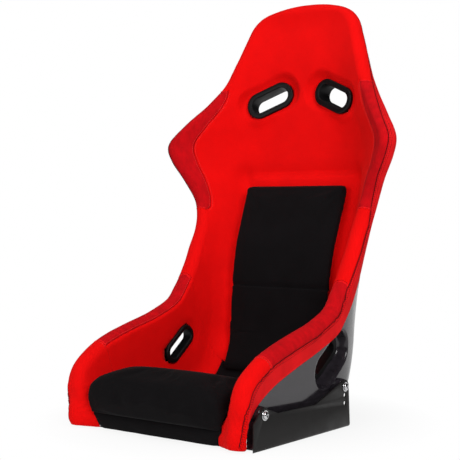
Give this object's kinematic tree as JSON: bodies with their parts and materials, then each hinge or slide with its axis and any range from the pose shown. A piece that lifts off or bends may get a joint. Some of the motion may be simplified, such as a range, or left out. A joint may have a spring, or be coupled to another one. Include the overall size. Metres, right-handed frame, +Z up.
{
  "type": "racing seat",
  "caption": "Fixed-back racing bucket seat: moulded shell with padded fabric covers, lift-off cushions, harness slots and bent steel side brackets.",
  "frame": {"origin": "middle of the footprint, on the floor under the side brackets' feet", "axes": "+Z up, -Y the way the occupant faces, +X the occupant's left"},
  "size_m": [0.58, 0.5768, 0.8812],
  "materials": {
    "red_fabric": "knitted cloth over foam",
    "red_trim": "suede-like cloth over foam",
    "red_band": "woven edge band",
    "black_fabric": "knitted cloth over foam",
    "hook_loop": "hook-and-loop tape",
    "laminate": "gloss gel-coated laminate",
    "guide_plastic": "satin",
    "bracket_steel": "flat powder coat",
    "bright_steel": "bright zinc",
    "brass": "plain"
  },
  "bodies": {
    "shell": {"seat_shell": "laminate", "pan_cover": "black_fabric", "back_cover": "red_fabric", "upper_rim_band": "red_band", "left_nose_cover": "red_fabric", "right_nose_cover": "red_fabric", "left_side_cover": "red_fabric", "right_side_cover": "red_fabric", "left_thigh_trim": "red_trim", "right_thigh_trim": "red_trim", "left_wing_trim": "red_trim", "right_wing_trim": "red_trim", "left_lower_rim_band": "red_band", "right_lower_rim_band": "red_band", "left_seat_hook_strip": "hook_loop", "right_seat_hook_strip": "hook_loop", "left_back_hook_strip": "hook_loop", "right_back_hook_strip": "hook_loop", "left_shoulder_guide": "guide_plastic", "right_shoulder_guide": "guide_plastic", "left_shoulder_guide_rear_ring": "guide_plastic", "right_shoulder_guide_rear_ring": "guide_plastic", "left_lap_guide": "guide_plastic", "right_lap_guide": "guide_plastic", "left_lap_guide_outer_ring": "guide_plastic", "right_lap_guide_outer_ring": "guide_plastic", "left_side_bracket": "bracket_steel", "right_side_bracket": "bracket_steel", "left_rear_bolt": "bright_steel", "right_rear_bolt": "bright_steel", "left_rear_washer": "bright_steel", "right_rear_washer": "bright_steel", "left_rear_insert": "brass", "right_rear_insert": "brass", "left_front_bolt": "bright_steel", "right_front_bolt": "bright_steel", "left_front_washer": "bright_steel", "right_front_washer": "bright_steel", "left_front_insert": "brass", "right_front_insert": "brass"},
    "seat_cushion": {"seat_cushion": "black_fabric", "left_seat_loop_strip": "hook_loop", "right_seat_loop_strip": "hook_loop"},
    "back_cushion": {"back_cushion": "black_fabric", "left_back_loop_strip": "hook_loop", "right_back_loop_strip": "hook_loop"}
  },
  "joints": [
    {"name": "seat_cushion_lift", "type": "slide", "parent": "shell", "child": "seat_cushion", "axis": [0, 0, 1], "range_m": [0, 0.08]},
    {"name": "back_cushion_lift", "type": "slide", "parent": "shell", "child": "back_cushion", "axis": [0, -0.5, 0.866], "range_m": [0, 0.1]}
  ]
}
